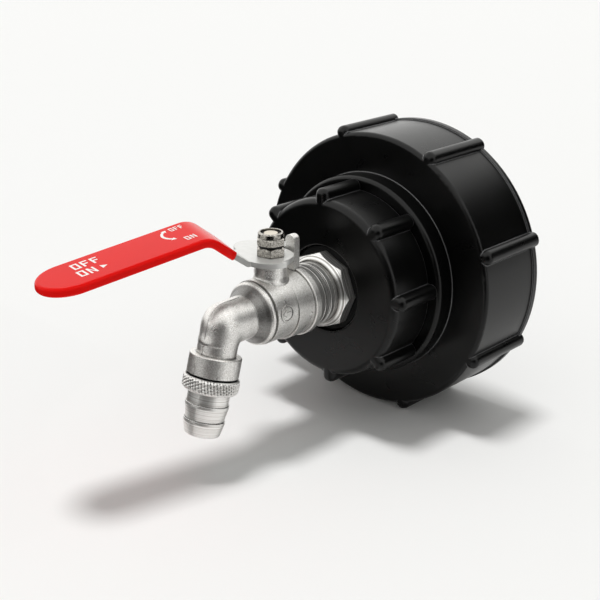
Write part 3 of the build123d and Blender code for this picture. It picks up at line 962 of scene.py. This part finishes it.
black_finish, shader, place = new_material("phosphated_steel_and_black_nylon")
crystals = add_node(
    black_finish, "ShaderNodeTexNoise", {"Vector": place, "Scale": 1 / (0.3 * MM), "Detail": 2.0}
)
tone = add_node(
    black_finish,
    "ShaderNodeMix",
    {"Factor": crystals.outputs["Fac"], 6: linear("#0b0b0b"), 7: linear("#1a1a1a")},
    data_type="RGBA",
)
finish_surface(
    black_finish, shader, Base_Color=tone.outputs[2], Roughness=0.5, Specular_IOR_Level=0.3
)
dress(black_finish, "spring_washer", "nylon_insert")

# ---- Hose tail
# Turned from bar and nickel plated. The flange has a coarse knurl to turn it by: leaning ridges,
# crossed by shallower ones.
tail_nickel = turned_nickel(
    "nickel_plated_brass_turned",
    origin=(0, -ELBOW, 0),
    axis=tuple(DOWN),
    rough=0.34,
    line_depth=0.03 * MM,
    light=NICKEL_LIGHT,
    deep=linear("#d6d3cf"),
)
dress(tail_nickel, "hose_tail")

KNURL_START = 18.5
KNURL_END = 23.7
KNURL_ROOT = 9.8
KNURL_HEIGHT = 0.7
KNURL_TEETH = 54
KNURL_LEAD = 5.5
KNURL_CROSS = 1.3
around, rows = KNURL_TEETH * 8, 20
points, faces = [], []
for row in range(rows + 1):
    distance = KNURL_START + (KNURL_END - KNURL_START) * row / rows
    fade = min(1.0, row / 3, (rows - row) / 3)
    for step in range(around):
        turn = step / around * KNURL_TEETH
        ridge = min(1.0, 2.6 * abs((turn + distance / KNURL_LEAD) % 1 - 0.5))
        cross = min(1.0, 3.2 * abs((turn / 2 - distance / KNURL_CROSS) % 1 - 0.5))
        tooth = 0.25 + 0.75 * ridge - 0.35 * (1 - cross)
        radius = KNURL_ROOT + KNURL_HEIGHT * tooth * fade
        points.append(at_spout(math.tau * step / around, radius, distance))
for row in range(rows):
    for step in range(around):
        a, b = row * around + step, row * around + (step + 1) % around
        faces.append((a, a + around, b + around, b))
new_piece("knurl", points, faces, tail_nickel, "tail")

points, faces = screw_ridge(
    at_spout,
    root=7.2,
    crest=8.0,
    pitch=1.5,
    start=13.0,
    end=17.9,
    root_width=1.2,
    crest_width=0.3,
)
new_piece("tail_thread", points, faces, tail_nickel, "tail")

# ---- Studio
# A pale table under one high soft key, with black cards round it that give the metal its dark
# reflections. The camera stands where the photograph was taken from.
camera_data = bpy.data.cameras.new("camera")
camera_data.lens = 72.0
camera_data.sensor_width = 36.0
camera_data.clip_start, camera_data.clip_end = 0.02, 60.0
camera = bpy.data.objects.new("camera", camera_data)
bpy.context.scene.collection.objects.link(camera)
RIGHT = Vector((0.73347, 0.67960, 0.01302))
CAMERA_UP = Vector((-0.25467, 0.25700, 0.93225))
BACK = Vector((0.63021, -0.68710, 0.36157))
CAMERA_PLACE = Vector((291.96, -394.97, 166.29)) * MM
camera.matrix_world = Matrix.Translation(CAMERA_PLACE) @ Matrix(
    (RIGHT, CAMERA_UP, BACK)
).transposed().to_4x4()
bpy.context.scene.camera = camera

FLOOR = cad_low.z


def stage_sheet(name, corners, material):
    """A flat stage piece from its corners in metres."""
    mesh = bpy.data.meshes.new(name)
    mesh.from_pydata([Vector(corner) for corner in corners], [], [tuple(range(len(corners)))])
    mesh.materials.append(material)
    sheet = bpy.data.objects.new(name, mesh)
    bpy.context.scene.collection.objects.link(sheet)
    sheet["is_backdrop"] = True
    return sheet


table_paint, shader, _ = new_material("pale_table")
finish_surface(
    table_paint, shader, Base_Color=linear("#f1f1f0"), Roughness=0.9, Specular_IOR_Level=0.1
)
TABLE_REACH = 12.0
stage_sheet(
    "table",
    [(x * TABLE_REACH, y * TABLE_REACH, FLOOR) for x, y in ((-1, -1), (1, -1), (1, 1), (-1, 1))],
    table_paint,
)

black_card, shader, _ = new_material("black_card")
finish_surface(
    black_card, shader, Base_Color=linear("#0a0a0a"), Roughness=0.9, Specular_IOR_Level=0.0
)
CARD_CENTRE = -0.08
CARD_LIFT = 0.0005
CARD_STEPS = 8


def card_corner(turn, radius, height):
    """A corner of a card, at a turn from +X in degrees round the object."""
    angle = math.radians(turn)
    return (
        radius * math.cos(angle),
        CARD_CENTRE + radius * math.sin(angle),
        FLOOR + CARD_LIFT + height,
    )


for name, start, end, near, far, low, high in (
    ("card_floor_left", -180, -96, 0.1, 0.9, 0.0, 0.0),
    ("card_wall_left", -180, -96, 0.9, 0.9, 0.0, 0.1),
    ("card_floor_front", -96, -20, 0.15, 0.9, 0.0, 0.0),
    ("card_wall_front", -92, -14, 0.9, 0.9, 0.0, 0.36),
    ("card_wall_camera", -72, -20, 0.92, 0.92, 0.3, 0.7),
    ("card_wall_back", 16, 84, 0.9, 0.9, 0.06, 0.66),
):
    for step in range(CARD_STEPS):
        turns = [start + (end - start) * (step + ahead) / CARD_STEPS for ahead in (0, 1)]
        corners = [
            card_corner(turns[0], near, low),
            card_corner(turns[1], near, low),
            card_corner(turns[1], far, high),
            card_corner(turns[0], far, high),
        ]
        card = stage_sheet(f"{name}_{step}", corners, black_card)
        card.visible_camera = card.visible_diffuse = card.visible_shadow = False

# White behind the object, brighter still in reflections, and dim where it lights the object.
REFLECTED_GLOW = 1.6
LIGHTING_GLOW = 0.52
world = bpy.data.worlds.new("studio")
bpy.context.scene.world = world
world.use_nodes = True
world.node_tree.nodes.clear()
path = add_node(world, "ShaderNodeLightPath")
seen = add_node(
    world,
    "ShaderNodeMath",
    {0: path.outputs["Is Camera Ray"], 1: path.outputs["Is Transmission Ray"]},
    operation="MAXIMUM",
)
lit = add_node(
    world,
    "ShaderNodeMath",
    {0: path.outputs["Is Glossy Ray"], 1: REFLECTED_GLOW},
    operation="MULTIPLY",
)
seen = add_node(
    world, "ShaderNodeMath", {0: seen.outputs[0], 1: lit.outputs[0]}, operation="MAXIMUM"
)
strength = add_node(
    world, "ShaderNodeMath", {0: seen.outputs[0], 1: LIGHTING_GLOW}, operation="MAXIMUM"
)
backdrop = add_node(
    world,
    "ShaderNodeBackground",
    {"Color": linear("#f9f9f7"), "Strength": strength.outputs[0]},
)
add_node(world, "ShaderNodeOutputWorld", {"Surface": backdrop.outputs["Background"]})

key_data = bpy.data.lights.new("key", "SUN")
key_data.energy = 1.85
key_data.angle = math.radians(12)
key = bpy.data.objects.new("key", key_data)
bpy.context.scene.collection.objects.link(key)
# The sun's own reflection would be a white spot on the body's cone, which the photograph lacks.
key.visible_glossy = False
KEY_FROM = Vector((-0.08, -0.07, 0.994))
key.rotation_mode = "QUATERNION"
key.rotation_quaternion = KEY_FROM.to_track_quat("Z", "Y")

bpy.context.scene.view_settings.view_transform = "Standard"
low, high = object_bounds()
